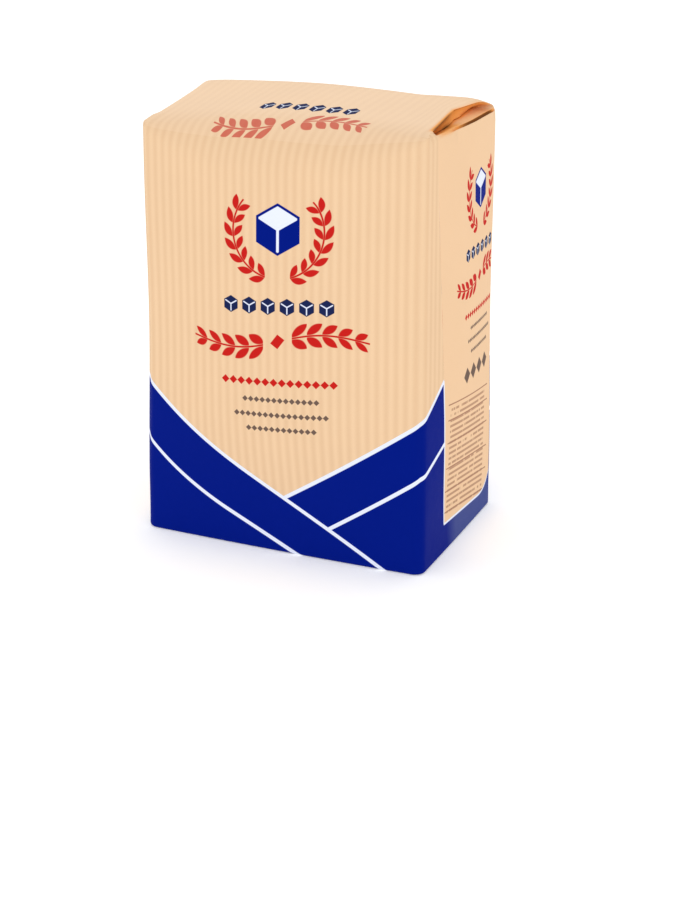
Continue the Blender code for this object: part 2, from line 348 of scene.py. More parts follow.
# %% Where the roof's edge lies above the fold
def roof_inset(a, from_front):
    """How far the roof's edge stands back from the side, as it is pinched."""
    most = ROOF_INSET_RIGHT if a > 0.0 else ROOF_INSET_LEFT
    if from_front < ROOF_INSET_PEAK:
        return most * clamp((from_front - ROLL_START) / (ROOF_INSET_PEAK - ROLL_START)) ** ROOF_INSET_POWER
    return most * clamp((ROOF_INSET_END - from_front) / (ROOF_INSET_END - ROOF_INSET_PEAK))


def mouth_opening(b):
    """How far the fold has opened at this depth, from 0 to 1."""
    from_tip = b + HALF_D - MOUTH_TIP
    from_back = HALF_D - b - MOUTH_BACK
    return ease(from_tip / MOUTH_RAMP) * ease(from_back / MOUTH_BACK_RAMP)


def roof_edge_drop(b, from_side=0.0):
    """How far the roof hangs down near its edge, most at its far corner."""
    hang = clamp(1.0 - from_side / ROOF_INSET_REACH) ** HANG_POWER
    curl = ease((b + HALF_D - ROOF_CURL_START) / (DEPTH - ROOF_CURL_START))
    curl *= clamp(1.0 - from_side / ROOF_CURL_REACH) ** CURL_POWER
    return ROOF_EDGE_DROP * mouth_opening(b) * hang + ROOF_CURL * curl


print("the roof's edge stands back by up to", 1000 * roof_inset(HALF_W, ROOF_INSET_PEAK), "mm")

# %% The outline of the fold, from the lower lip up
PLY = 0.00035
LIP_CROWN = 0.0001
LIP_ROLL = (0.0009, 0.0005, 0.0002)
GROOVE_START = 0.016
GROOVE_RAMP = 0.005
GROOVE_WIDTH = 0.0008
GROOVE_DEPTH = 0.0010
GROOVE_BOTTOM = 0.4
SHELF_RISE = 0.0004
SHELF_END = (0.8, 0.75)
UNDERSIDE = (0.5, 0.45)
HEM_IN = (1.5, 1.2)
HEM_DOWN = (2.0, 1.0)
VALLEY_STEP = 7


def closed_outline(inset, edge):
    """The soft roll of the side into the roof, where the fold is shut."""
    turns = [math.pi / 2 * i / FOLD_STEPS for i in range(FOLD_STEPS + 1)]
    return [(inset * (1.0 - math.cos(turn)), edge + ROLL_DROP * (1.0 - math.sin(turn))) for turn in turns]


def opened_outline(inset, edge, lip, crisp):
    """The open fold: lower lip, groove, shelf, valley and the underside of the roof's edge."""
    roll = 1.0 - crisp
    shelf_in = PLY + GROOVE_WIDTH
    valley_in = max(MOUTH_DEPTH, inset + PLY)
    under_in = mix(valley_in, inset + PLY, UNDERSIDE[0])
    return [
        (0.0, lip + LIP_ROLL[0] * roll),
        (PLY / 2, lip - LIP_CROWN + LIP_ROLL[1] * roll),
        (PLY, lip + LIP_ROLL[2] * roll),
        (PLY + GROOVE_WIDTH * GROOVE_BOTTOM, lip + GROOVE_DEPTH * crisp),
        (shelf_in, lip - SHELF_RISE * crisp),
        (shelf_in + PLY, lip - SHELF_RISE * crisp),
        (valley_in * SHELF_END[0], mix(lip, VALLEY_DROP, SHELF_END[1])),
        (valley_in, VALLEY_DROP),
        (valley_in - PLY, VALLEY_DROP - PLY),
        (under_in, mix(VALLEY_DROP, edge + PLY, UNDERSIDE[1])),
        (inset + PLY * HEM_IN[0], edge + PLY * HEM_DOWN[0]),
        (inset + PLY * HEM_IN[1], edge + PLY * HEM_DOWN[1]),
        (inset, edge),
    ]


def fold_outline(a, b):
    """Corners of the fold, as (in from the side, below the roof), from the lower lip up."""
    from_front = b + HALF_D
    opened = mouth_opening(b)
    inset = roof_inset(a, from_front)
    edge = roof_edge_drop(b)
    lip = mix(LIP_DROP_TIP, LIP_DROP_BACK, clamp((from_front - MOUTH_TIP) / LIP_RAMP))
    crisp = ease((from_front - GROOVE_START) / GROOVE_RAMP)
    shut = closed_outline(inset, edge)
    wide = opened_outline(inset, edge, lip, crisp)
    return [(mix(s[0], w[0], opened), mix(s[1], w[1], opened)) for s, w in zip(shut, wide)]


def open_fold(a, b, c):
    """Move of a point, in X and Z, that opens the fold above each side."""
    from_front = b + HALF_D
    from_side = HALF_W - abs(a)
    share = clamp((c - HEIGHT + LIP_ROW) / LIP_ROW)
    hang = -roof_edge_drop(b, from_side) * share
    if abs(c - HEIGHT) < SAME:
        reach = clamp(1.0 - from_side / ROOF_INSET_REACH)
        return -math.copysign(roof_inset(a, from_front) * reach, a), hang
    if from_side > SAME or c < HEIGHT - LIP_ROW - SAME:
        return 0.0, hang
    gathered = clamp((from_front - ROLL_START) / CORNER_RADIUS) * clamp((HALF_D - b) / CORNER_RADIUS)
    inward, drop = fold_outline(a, b)[round(share * FOLD_STEPS)]
    return -math.copysign(inward * gathered, a), mix(hang, HEIGHT - c - drop, gathered)


print("lower lip and valley half way along, in mm:",
      [tuple(round(1000 * v, 1) for v in fold_outline(HALF_W, 0.0)[i]) for i in (0, VALLEY_STEP)])

# %% [markdown]
# ## Painted shade inside the fold
# Paper deep in a fold lies in shade, and the little light it gets is warm, bounced off the paper
# round it. The light alone shows that too weakly on one thin skin, so this shade and warm light
# are painted: each point of the fold carries a shade, given row by row for its tip and its back.

# %% Shade of the fold's rows
SHADE_AT_TIP = (0.0, 0.2, 0.5, 0.7, 0.8, 0.9, 1.1, 1.3, 1.1, 1.2, 1.6, 2.0, 2.0)
SHADE_AT_BACK = (0.0, 0.0, 0.6, 1.9, 1.9, 0.4, 0.4, 1.3, 0.9, 0.9, 1.0, 1.3, 0.3)
LIP_SHADE_CHANGE = 0.019
EDGE_SHADE_CHANGE = 0.027
SHADE_RAMP = 0.013
CREASE_PLACE = 0.027
CREASE_REACH = 0.006
CREASE_SHADE = 0.6
RIM_REACH = 0.0018


def fold_shade(a, b, c):
    """How much painted shade the open fold gets at a point: 0 outside, 1 in its shade, 2 in its creases.
    """
    rim = clamp(1.0 - (HALF_W - abs(a)) / RIM_REACH)
    if c < HEIGHT - LIP_ROW + SAME or rim <= 0.0:
        return 0.0
    step = round((c - (HEIGHT - LIP_ROW)) / LIP_ROW * FOLD_STEPS)
    from_front = b + HALF_D
    change = LIP_SHADE_CHANGE if step < VALLEY_STEP else EDGE_SHADE_CHANGE
    shade = mix(SHADE_AT_TIP[step], SHADE_AT_BACK[step], ease((from_front - change) / SHADE_RAMP))
    if abs(step - VALLEY_STEP) <= 1:
        shade += CREASE_SHADE * ease(1.0 - abs(from_front - CREASE_PLACE) / CREASE_REACH)
    return shade * rim * mouth_opening(b)


print("darkest shade of the fold:", max(SHADE_AT_TIP + SHADE_AT_BACK))

# %% [markdown]
# ## The glued parts
# The roof's paper carries on over the back edge and is glued down there as a strip. One seam
# runs down the back. Under the pack the ends are folded in first and the long flaps glued over
# them, so the ends lie a paper's thickness higher.


# %% Steps at the strip, the seam and the base
def back_relief(a, b, c):
    """Thickness of the glued strip and seam on the back panel."""
    if b < HALF_D - SAME:
        return 0.0
    down = HEIGHT - c
    if down < STRIP_LOW - SAME:
        fade = clamp((down - STRIP_FADE) / (STRIP_HIGH - STRIP_FADE))
        side = clamp((HALF_W - abs(a)) / CORNER_RADIUS)
        return STRIP_THICKNESS * fade * side
    if abs(a) <= SEAM_HALF + SAME and c > BASE_RADIUS - SAME:
        return SEAM_THICKNESS
    return 0.0


def base_relief(a, b, c):
    """Height of the folded ends of the base above its long flaps."""
    if c > SAME:
        return 0.0
    past_fold = abs(a) - (HALF_W - HALF_D) - abs(b)
    fold = clamp((past_fold - BASE_RECESS_EDGE) / BASE_RECESS_RAMP)
    rim = clamp((HALF_W - abs(a) - BASE_RECESS_EDGE) / BASE_RECESS_RAMP)
    return BASE_RECESS * fold * rim


# %% All the moves together
def place(co):
    """Where a point of the plain box lies on the filled pack."""
    a, b, c = co
    x, y = round_plan(a, b)
    shrink = base_shrink(c)
    x *= 1.0 - shrink / HALF_W
    y *= 1.0 - shrink / HALF_D
    fold_x, fold_z = open_fold(a, b, c)
    edge_y, edge_z = edge_shift(a, b, c + fold_z)
    settled = (1.0 - c / HEIGHT) ** BASE_SPREAD_POWER
    x += settled * (BASE_SPREAD * x / WIDTH - BASE_SHIFT)
    y += settled * BASE_SPREAD * BASE_SPREAD_DEEP * y / DEPTH
    swell_x, swell_y = swell(a, b, c)
    wave_x, wave_y, wave_z = waves(a, b, c)
    x += swell_x + wave_x + fold_x
    y += edge_y + swell_y + wave_y + back_relief(a, b, c)
    z = c + edge_z + wave_z + fold_z + base_relief(a, b, c) - sink(a, b, c)
    return Vector((x, y, z))


# %% [markdown]
# ## Where the print lies on the paper
# The print was made on flat paper, so its pattern is laid out in paper millimetres: u runs
# round the pack from the middle of the front, and v runs up the wall and on over the roof. Each
# face corner remembers its place on the flat paper in an attribute, with the fold's painted shade
# as a third value, and the materials read it.

# %% Paper coordinates
FLAT_HALF_W = HALF_W - CORNER_RADIUS + math.pi / 4 * CORNER_RADIUS
FLAT_HALF_D = HALF_D - CORNER_RADIUS + math.pi / 4 * CORNER_RADIUS
PANELS = ["front", "right", "back", "left", "roof", "base"]


def run_round(x, half):
    """Length of paper from the middle of a panel to x, round the corner's curve."""
    flat = half - CORNER_RADIUS
    if abs(x) <= flat:
        return x
    return math.copysign(flat + CORNER_RADIUS * math.atan((abs(x) - flat) / CORNER_RADIUS), x)


def panel_of(middle):
    """Name of the panel of the box that a face's middle lies on."""
    distances = {
        "front": abs(middle.y + HALF_D),
        "right": abs(middle.x - HALF_W),
        "back": abs(middle.y - HALF_D),
        "left": abs(middle.x + HALF_W),
        "roof": abs(middle.z - HEIGHT),
        "base": abs(middle.z),
    }
    return min(distances, key=distances.get)


def on_paper(panel, co):
    """Place of a point of the plain box on the flat paper, in millimetres."""
    a, b, c = co
    across = run_round(a, HALF_W)
    along = run_round(b, HALF_D)
    side = FLAT_HALF_W + FLAT_HALF_D
    places = {
        "front": (across, c),
        "right": (side + along, c),
        "back": (2 * side - across, c),
        "left": (-side - along, c),
        "roof": (across, HEIGHT + HALF_D + b),
        "base": (across, -HALF_D - b),
    }
    return [1000.0 * value for value in places[panel]]


print("paper round half the pack:", round(2000 * (FLAT_HALF_W + FLAT_HALF_D), 1), "mm")


# %% Build the paper skin
SHARP_ANGLE = math.radians(38.0)


def build_skin():
    """The whole pack as one closed mesh, with each face's panel and paper coordinates."""
    bm = bmesh.new()
    bmesh.ops.create_cube(bm, size=1.0)
    bmesh.ops.scale(bm, vec=(WIDTH, DEPTH, HEIGHT), verts=bm.verts)
    bmesh.ops.translate(bm, vec=(0.0, 0.0, HEIGHT / 2), verts=bm.verts)
    cut(bm, 0, column_lines())
    cut(bm, 1, depth_lines())
    cut(bm, 2, height_lines())
    paper_mm_and_painted_shade = bm.loops.layers.float_vector.new("paper_mm_and_painted_shade")
    for face in bm.faces:
        panel = panel_of(face.calc_center_median())
        face.material_index = PANELS.index(panel)
        for loop in face.loops:
            # The third value is the fold's painted shade, on the side walls and along the roof's right
            # edge.
            shaded = panel in ("left", "right") or (panel == "roof" and loop.vert.co.x > 0.0)
            shade = fold_shade(*loop.vert.co) if shaded else 0.0
            loop[paper_mm_and_painted_shade] = (*on_paper(panel, loop.vert.co), shade)
    for vert in bm.verts:
        vert.co = place(vert.co)
    middle = (pack_low[1] + pack_high[1]) / 2
    front = min(vert.co.y for vert in bm.verts)
    back = max(vert.co.y for vert in bm.verts)
    bmesh.ops.translate(bm, vec=(0.0, middle - (front + back) / 2, 0.0), verts=bm.verts)
    bmesh.ops.recalc_face_normals(bm, faces=bm.faces)
    mesh = bpy.data.meshes.new("paper_skin")
    bm.to_mesh(mesh)
    bm.free()
    mesh.shade_smooth()
    mesh.set_sharp_from_angle(angle=SHARP_ANGLE)
    return mesh


skin = bpy.data.objects.new("paper_skin", build_skin())
bpy.context.scene.collection.objects.link(skin)
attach(skin, "root")
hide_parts("sugar_pack")
print("faces in the paper skin:", len(skin.data.polygons))

# %% [markdown]
# ## Colours
# The pack is coated kraft paper, printed by flexography with a peach ground, a navy, a red and a
# warm grey ink. Screen colours are written as hex sRGB, as a colour picker gives them, and one
# function turns them into the linear values that the renderer works with.

# %% Colours of the paper and the inks
PEACH_LIGHT = "#EAC8A2"
PEACH_DARK = "#E3BF99"
PEACH_PLAIN = "#EBC69F"
# A lighter peach, painted as sheen over the roof's middle.
PAINTED_SHEEN_PEACH = "#F8DABB"
NAVY = "#01187F"
# A lighter navy, painted as sheen on the side's strip at a grazing angle.
PAINTED_SHEEN_NAVY = "#434E8C"
LINE_WHITE = "#E4EAFB"
RED = "#C4201C"
DEEP_NAVY = "#1B2550"
WARM_GREY = "#6E5A50"
RULE_BROWN = "#A0705A"
# Painted warm bounced light and painted deep shade, for the inside of the open fold.
PAINTED_BOUNCE_ORANGE = "#F0A254"
PAINTED_DEEP_SHADE = "#6A3A14"


def ink(code):
    """A hex sRGB colour as linear red, green, blue and alpha."""
    channels = [int(code[i:i + 2], 16) / 255.0 for i in (1, 3, 5)]
    linear = [v / 12.92 if v <= 0.04045 else ((v + 0.055) / 1.055) ** 2.4 for v in channels]
    return (*linear, 1.0)


print("navy in linear light:", [round(v, 3) for v in ink(NAVY)])

# %% [markdown]
# ## Drawing with nodes
# A print without any picture file is drawn by arithmetic on the paper coordinates. Each shape
# is a mask: a line, for instance, is 1 where the height differs little from a slope and 0
# elsewhere. One helper adds a node, and all the shapes are built from it.


# %% The one helper that adds a node
def add(tree, kind, *inputs, **settings):
    """Add one node. Inputs are given in socket order: a value, something to link, or None."""
    node = tree.nodes.new("ShaderNode" + kind)
    for name, value in settings.items():
        setattr(node, name, value)
    for socket, value in zip(node.inputs, inputs):
        if isinstance(value, bpy.types.Node):
            tree.links.new(value.outputs[0], socket)
        elif isinstance(value, bpy.types.NodeSocket):
            tree.links.new(value, socket)
        elif value is not None:
            socket.default_value = value
    return node


# %% Basic shapes of print, in millimetres
PRINT_EDGE = 0.18


def within(tree, distance, reach, soft=PRINT_EDGE):
    """1 where a distance is less than reach and 0 where it is more, with a soft edge."""
    low, high = reach - soft / 2, reach + soft / 2
    return add(tree, "MapRange", distance, low, high, 1.0, 0.0, interpolation_type="SMOOTHSTEP")


def apart(tree, a, b):
    """How far a lies from b, whichever is the larger."""
    return add(tree, "Math", add(tree, "Math", a, b, operation="SUBTRACT"), operation="ABSOLUTE")


def both(tree, one, other):
    """Where two masks overlap."""
    return add(tree, "Math", one, other, operation="MULTIPLY")


def either(tree, mask, *others):
    """Where at least one of the masks is set."""
    for other in others:
        mask = add(tree, "Math", mask, other, operation="MAXIMUM")
    return mask


def ramp(tree, x, slope, start):
    """A sloping line: slope times x, plus start."""
    return add(tree, "Math", x, slope, start, operation="MULTIPLY_ADD")


def print_over(tree, below, mask, code):
    """Print one ink over what lies below it."""
    colour = ink(code) if isinstance(code, str) else code
    mixed = add(tree, "Mix", mask, None, None, None, None, None, below, colour, data_type="RGBA")
    return mixed.outputs[2]


# %% [markdown]
# ## Stripes
# The ground of the print is soft upright stripes in two close peach tones. A sine wave across
# the paper gives both their pitch and their soft edges.

# %% Striped ground
STRIPE_PITCH = 2.52
STRIPE_START = 0.55


def striped_ground(tree, across):
    """Colour of the striped peach ground."""
    phase = ramp(tree, across, 2 * math.pi / STRIPE_PITCH, STRIPE_START)
    tone = ramp(tree, add(tree, "Math", phase, operation="SINE"), 0.5, 0.5)
    return print_over(tree, ink(PEACH_DARK), tone, PEACH_LIGHT)


# %% [markdown]
# ## A motif of sugar cubes
# The label's one motif is a sugar cube seen from a corner: a hexagon with a white top and white
# edges. The distance to a hexagon's nearest side is the largest of three distances, measured in
# directions 60 degrees apart. Drawn large it is the emblem, and small it makes a row.

# %% One cube and a row of them
LARGE_CUBE = 6.3
LARGE_CUBE_LINE = 0.75
SMALL_CUBE = 2.1
SMALL_CUBE_LINE = 0.32
SMALL_CUBES = 6
SMALL_CUBE_PITCH = 5.6
SLANTED_EDGE = 0.6


def turned(tree, x, y, turn):
    """Distance of a place from the middle, along a direction turned by an angle."""
    return ramp(tree, x, math.cos(turn), ramp(tree, y, math.sin(turn), 0.0))


def cube_masks(tree, x, y, reach, line):
    """A sugar cube round the middle, as three masks: the whole of it, its top and its edges."""
    widths = [apart(tree, turned(tree, x, y, math.radians(d)), 0.0) for d in (0.0, 60.0, 120.0)]
    widest = either(tree, *widths)
    lid = ramp(tree, widths[0], -math.tan(math.pi / 6), y)
    inner = within(tree, widest, reach - line)
    top = both(tree, inner, within(tree, ramp(tree, lid, -1.0, 0.0), -line / 2))
    upright = both(tree, within(tree, widths[0], line / 2), within(tree, lid, 0.0))
    slanted = within(tree, apart(tree, lid, 0.0), line * SLANTED_EDGE)
    edges = both(tree, inner, either(tree, upright, slanted))
    return within(tree, widest, reach), top, edges


def draw_emblem(tree, colour, x, y):
    """One large cube with a white top."""
    whole, top, edges = cube_masks(tree, x, y, LARGE_CUBE, LARGE_CUBE_LINE)
    colour = print_over(tree, colour, whole, NAVY)
    return print_over(tree, colour, either(tree, top, edges), LINE_WHITE)


def draw_cube_row(tree, colour, x, y):
    """A row of small dark cubes, spaced evenly to both sides of the middle."""
    half = SMALL_CUBE_PITCH * SMALL_CUBES / 2
    cell = add(tree, "Math", ramp(tree, x, 1.0, half), SMALL_CUBE_PITCH, operation="FLOORED_MODULO")
    from_middle = ramp(tree, cell, 1.0, -SMALL_CUBE_PITCH / 2)
    whole, _, edges = cube_masks(tree, from_middle, y, SMALL_CUBE, SMALL_CUBE_LINE)
    shown = within(tree, apart(tree, x, 0.0), half)
    colour = print_over(tree, colour, both(tree, whole, shown), DEEP_NAVY)
    return print_over(tree, colour, both(tree, edges, shown), LINE_WHITE)


# %% [markdown]
# ## Leaves
# A leaf is pointed at both ends: its half width falls off with the square of the way along it.
# A row of leaves needs only one leaf, because the place along the stem is folded into one step.
# Two stems carry them: a ring round the emblem, and a level branch with a slow bend.

# %% Leaf rows, sprays and the branch
LEAF_LENGTH = 2.2
LEAF_WIDTH = 0.95
LEAF_TILT = math.radians(34.0)
LEAF_OUT = 1.5
LEAF_SOFT = 0.3
STEM = 0.26
SPRAY_RADIUS = 13.2
SPRAY_FROM = 16.0
SPRAY_STEP = 16.4
SPRAY_LEAVES = 7
BRANCH_STEP = 4.3
BRANCH_LEAVES = 5
BRANCH_START = 4.2
BRANCH_BOW = 2.3
BRANCH_SIZE = 1.34
BRANCH_TAPER = 0.45
BUD = 2.1


def leaf(tree, along, out, size):
    """A pointed leaf that leans away from its stem, with its middle at the given place."""
    long = turned(tree, along, out, LEAF_TILT)
    wide = apart(tree, turned(tree, along, out, LEAF_TILT + math.pi / 2), 0.0)
    long = add(tree, "Math", ramp(tree, long, 1.0 / LEAF_LENGTH, 0.0), size, operation="DIVIDE")
    wide = add(tree, "Math", ramp(tree, wide, 1.0 / LEAF_WIDTH, 0.0), size, operation="DIVIDE")
    return within(tree, ramp(tree, long, long, wide), 1.0, LEAF_SOFT)


def leaves_on_stem(tree, along, off, step, size):
    """Pairs of leaves on both sides of a stem, and the stem itself."""
    cell = add(tree, "Math", along, step, operation="FLOORED_MODULO")
    out = add(tree, "Math", apart(tree, off, 0.0), ramp(tree, size, LEAF_OUT, 0.0), operation="SUBTRACT")
    leaves = leaf(tree, ramp(tree, cell, 1.0, -step / 2), out, size)
    return either(tree, leaves, within(tree, apart(tree, off, 0.0), STEM))


def leaf_sprays(tree, x, y):
    """Two sprays that rise from under the emblem, one on each side."""
    radius = add(tree, "Math", ramp(tree, x, x, both(tree, y, y)), operation="SQRT")
    turn = add(tree, "Math", apart(tree, x, 0.0), ramp(tree, y, -1.0, 0.0), operation="ARCTAN2")
    along = ramp(tree, turn, SPRAY_RADIUS, -SPRAY_RADIUS * math.radians(SPRAY_FROM))
    step = SPRAY_RADIUS * math.radians(SPRAY_STEP)
    leaves = leaves_on_stem(tree, along, ramp(tree, radius, 1.0, -SPRAY_RADIUS), step, 1.0)
    half = step * SPRAY_LEAVES / 2
    return both(tree, leaves, within(tree, apart(tree, along, half), half))


def branch(tree, x, y):
    """A level branch: leaves that grow outwards from a bud in its middle."""
    half = BRANCH_START + BRANCH_STEP * BRANCH_LEAVES
    run = apart(tree, x, 0.0)
    bow = add(tree, "Math", ramp(tree, x, math.pi / half, 0.0), operation="SINE")
    off = ramp(tree, bow, -BRANCH_BOW, y)
    size = ramp(tree, both(tree, run, run), -BRANCH_TAPER / (half * half), BRANCH_SIZE)
    leaves = leaves_on_stem(tree, ramp(tree, run, 1.0, -BRANCH_START), off, BRANCH_STEP, size)
    bud = within(tree, add(tree, "Math", run, apart(tree, off, 0.0), operation="ADD"), BUD)
    from_bud = apart(tree, run, (BRANCH_START + half) / 2)
    return either(tree, bud, both(tree, leaves, within(tree, from_bud, (half - BRANCH_START) / 2)))


# %% [markdown]
# ## Rows of small crystals
# Rows of little crystals fill the label's lower part: squares that stand on a corner. As with
# the leaves, only one is drawn, because the place along the row is folded into one step.

# %% Rows of crystals, each as (middle, number, pitch, reach)
RED_ROW = ((0.0, -21.8), 14, 2.45, 1.2)
GREY_ROWS = (
    ((0.6, -27.0), 13, 1.75, 0.86),
    ((0.6, -31.4), 16, 1.75, 0.86),
    ((0.6, -35.7), 12, 1.75, 0.86),
)


def crystals(tree, x, y, middle, count, pitch, reach):
    """A row of small squares that stand on a corner."""
    half = pitch * count / 2
    cell = add(tree, "Math", ramp(tree, x, 1.0, half - middle[0]), pitch, operation="FLOORED_MODULO")
    far = add(tree, "Math", apart(tree, cell, pitch / 2), apart(tree, y, middle[1]), operation="ADD")
    return both(tree, within(tree, far, reach), within(tree, apart(tree, x, middle[0]), half))


# %% The whole label
EMBLEM_UP = 20.9
EMBLEM_CUBE_UP = 0.6
BRANCH_UP = -9.9


def draw_label(tree, colour, x, y):
    """The whole label, laid out round its row of cubes."""
    raised = ramp(tree, y, 1.0, -EMBLEM_UP)
    colour = draw_emblem(tree, colour, x, ramp(tree, raised, 1.0, -EMBLEM_CUBE_UP))
    colour = print_over(tree, colour, leaf_sprays(tree, x, raised), RED)
    colour = draw_cube_row(tree, colour, x, y)
    colour = print_over(tree, colour, branch(tree, x, ramp(tree, y, 1.0, -BRANCH_UP)), RED)
    colour = print_over(tree, colour, crystals(tree, x, y, *RED_ROW), RED)
    lines = either(tree, *[crystals(tree, x, y, *row) for row in GREY_ROWS])
    return print_over(tree, colour, lines, WARM_GREY)


# %% [markdown]
# ## The crossing bands
# Round the foot of the pack run two broad navy bands with white edges. Each edge is a sloping
# line across the paper that steepens a little to one side. The band from the left lies on top,
# so the edges of the other one are only drawn above it.

# %% Bands round the foot: each edge as (height in the middle, slope, where it bends, bend)
TOP_EDGE = (18.6, -0.61, -10.0, 0.0027)
TOP_LINE = (2.8, -0.51, -15.0, 0.0079)
UNDER_EDGE = (16.3, 0.695, 0.0, 0.0)
UNDER_LINE = (-0.5, 0.715, 0.0, 0.0)
CORNER_AT = 40.65
CORNER_DROP = 0.3
LINE_HALF = 0.66
PANEL_LINE_HALF = 0.3
SIDE_START = 57.0
STRIP_UP = 8.9
STRIP_SLOPE = -0.085
STRIP_CURVE_START = 82.0
STRIP_CURVE = 0.0058
STRIP_OVERLAP = 1.0
# Where the painted sheen on the side's strip begins and is full, in mm past the front's print.
STRIP_SHEEN_SPAN = (2.0, 9.0)


def edge_above(tree, across, up, start, slope, turn, bend):
    """How far a place lies above a band's edge, which bends before it has come as far as turn."""
    before = add(tree, "Math", ramp(tree, across, -1.0, turn), 0.0, operation="MAXIMUM")
    curve = ramp(tree, both(tree, before, before), bend, start)
    return add(tree, "Math", up, ramp(tree, across, slope, curve), operation="SUBTRACT")


def line_along(tree, above, half=LINE_HALF):
    """A line that follows an edge."""
    return within(tree, apart(tree, above, 0.0), half)


def draw_bands(tree, colour, across, up, on_front):
    """The navy bands with their white edges, on the front's part of the print."""
    top_edge = edge_above(tree, across, up, *TOP_EDGE)
    top_line = edge_above(tree, across, up, *TOP_LINE)
    under_edge = edge_above(tree, across, up, *UNDER_EDGE)
    past_corner = add(tree, "Math", ramp(tree, across, 1.0, -CORNER_AT), 0.0, operation="MAXIMUM")
    under_line = edge_above(tree, across, ramp(tree, past_corner, CORNER_DROP, up), *UNDER_LINE)
    navy = either(tree, within(tree, top_edge, 0.0), within(tree, under_edge, 0.0))
    over = within(tree, ramp(tree, top_edge, -1.0, 0.0), 0.0)
    white = either(tree, line_along(tree, top_edge), line_along(tree, top_line))
    hidden = either(tree, line_along(tree, under_edge), line_along(tree, under_line))
    white = either(tree, white, both(tree, over, hidden))
    colour = print_over(tree, colour, both(tree, navy, on_front), NAVY)
    return print_over(tree, colour, both(tree, white, on_front), LINE_WHITE)


def draw_side_strip(tree, colour, across, up, beyond, on_side):
    """The navy foot of the side, which sweeps up at the far corner and turns a lighter navy of painted
    sheen along the side, and the panel's white edge.
    """
    late = add(tree, "Math", ramp(tree, across, 1.0, -STRIP_CURVE_START), 0.0, operation="MAXIMUM")
    cubed = both(tree, late, both(tree, late, late))
    sweep = ramp(tree, cubed, STRIP_CURVE, STRIP_UP - SIDE_START * STRIP_SLOPE)
    above = add(tree, "Math", up, ramp(tree, across, STRIP_SLOPE, sweep), operation="SUBTRACT")
    near_side = within(tree, ramp(tree, beyond, -1.0, 0.0), STRIP_OVERLAP)
    colour = print_over(tree, colour, both(tree, within(tree, above, 0.0), near_side), NAVY)
    # Past the front's print the strip turns a lighter navy: a painted sheen, as the side is seen at a
    # grazing angle.
    strip_sheen = add(tree, "MapRange", beyond, *STRIP_SHEEN_SPAN, 0.0, 1.0)
    colour = print_over(tree, colour, both(tree, within(tree, above, 0.0), strip_sheen), PAINTED_SHEEN_NAVY)
    peak = edge_above(tree, across, up, *UNDER_EDGE)
    upright = both(tree, line_along(tree, beyond, PANEL_LINE_HALF), within(tree, peak, 0.0))
    upright = both(tree, upright, within(tree, ramp(tree, above, -1.0, 0.0), 0.0))
    frame_line = either(tree, both(tree, line_along(tree, above, PANEL_LINE_HALF), on_side), upright)
    return print_over(tree, colour, frame_line, LINE_WHITE)


# %% Rules and small bars on the side: each span as (middle, half)
RULES_UP = (44.6, 40.0, 33.2, 25.6, 18.6, 12.2)
RULES_SPAN = (72.5, 16.3)
RULES_FALL = 0.165
RULE_HALF = 0.17
BAR_PITCH = 1.62
BAR_HALF = 0.36
BAR_NOISE = (0.45, 2.0)
BAR_SHARE = 0.60
BAR_ENDS = 0.08
BAR_INK = 0.7
BARS_UP = (27.8, 16.2)
BARS_SPAN = (71.8, 14.2)
LARGE_ROW = ((77.4, 52.3), 4, 5.3, 2.4)
LARGE_SLOPE = -0.05


def in_span(tree, place, span):
    """Where a place lies within a span."""
    return within(tree, apart(tree, place, span[0]), span[1])


def draw_bars(tree, across, level):
    """Rows of small bars. A noise, read anew for each row, leaves gaps between them."""
    in_row = add(tree, "Math", level, BAR_PITCH, operation="FLOORED_MODULO")
    row = add(tree, "Math", ramp(tree, level, 1 / BAR_PITCH, 0.0), operation="FLOOR")
    noise = add(tree, "TexNoise", add(tree, "CombineXYZ", across, row, 0.0), None, *BAR_NOISE)
    bars = in_span(tree, in_row, (BAR_PITCH / 2, BAR_HALF))
    bars = both(tree, bars, within(tree, noise, BAR_SHARE, BAR_ENDS))
    return both(tree, bars, both(tree, in_span(tree, level, BARS_UP), in_span(tree, across, BARS_SPAN)))


def draw_side_rules(tree, colour, across, up, on_side):
    """Thin rules with rows of small bars between them, sloping as the side's print does."""
    level = ramp(tree, ramp(tree, across, 1.0, -SIDE_START), RULES_FALL, up)
    rules = [line_along(tree, ramp(tree, level, 1.0, -height), RULE_HALF) for height in RULES_UP]
    rules = both(tree, either(tree, *rules), in_span(tree, across, RULES_SPAN))
    bars = ramp(tree, draw_bars(tree, across, level), BAR_INK, 0.0)
    colour = print_over(tree, colour, both(tree, on_side, either(tree, rules, bars)), RULE_BROWN)
    large = crystals(tree, across, ramp(tree, across, -LARGE_SLOPE, up), *LARGE_ROW)
    return print_over(tree, colour, both(tree, large, on_side), WARM_GREY)


# %% [markdown]
# ## The paper itself
# Coated kraft is smooth but not perfect: short fibres show faintly under the coating, and it
# crumples a little as the pack is filled. Fibres are about half a millimetre long. The crumples
# are about eight millimetres across and up to a fifth of one deep.

# %% Fibres and crumples: each noise as (scale per mm, detail, roughness)
FIBRE_NOISE = (2.2, 3.0, 0.6)
FIBRE_TONE = 0.05
FIBRE_DEPTH = 0.00002
FIBRE_BUMP = 0.5
FIBRE_ROUGHNESS = 0.16
BLOTCH_NOISE = (0.05, 2.0, 0.5)
BLOTCH_TONE = 0.05
CRUMPLE_NOISE = (0.13, 2.0, 0.45)
CRUMPLE_DEPTH = 0.00022
CRUMPLE_BUMP = 0.7
PAPER_TONE = 0.95
PAPER_ROUGHNESS = 0.52
PAPER_GLOSS = 0.02
PAPER_IOR = 1.47


def paper_places(tree):
    """Sockets for the place on the flat paper, and the painted shade of the fold there."""
    flat = add(tree, "Attribute", attribute_name="paper_mm_and_painted_shade")
    split = add(tree, "SeparateXYZ", flat.outputs["Vector"])
    return flat.outputs["Vector"], split.outputs[0], split.outputs[1], split.outputs[2]


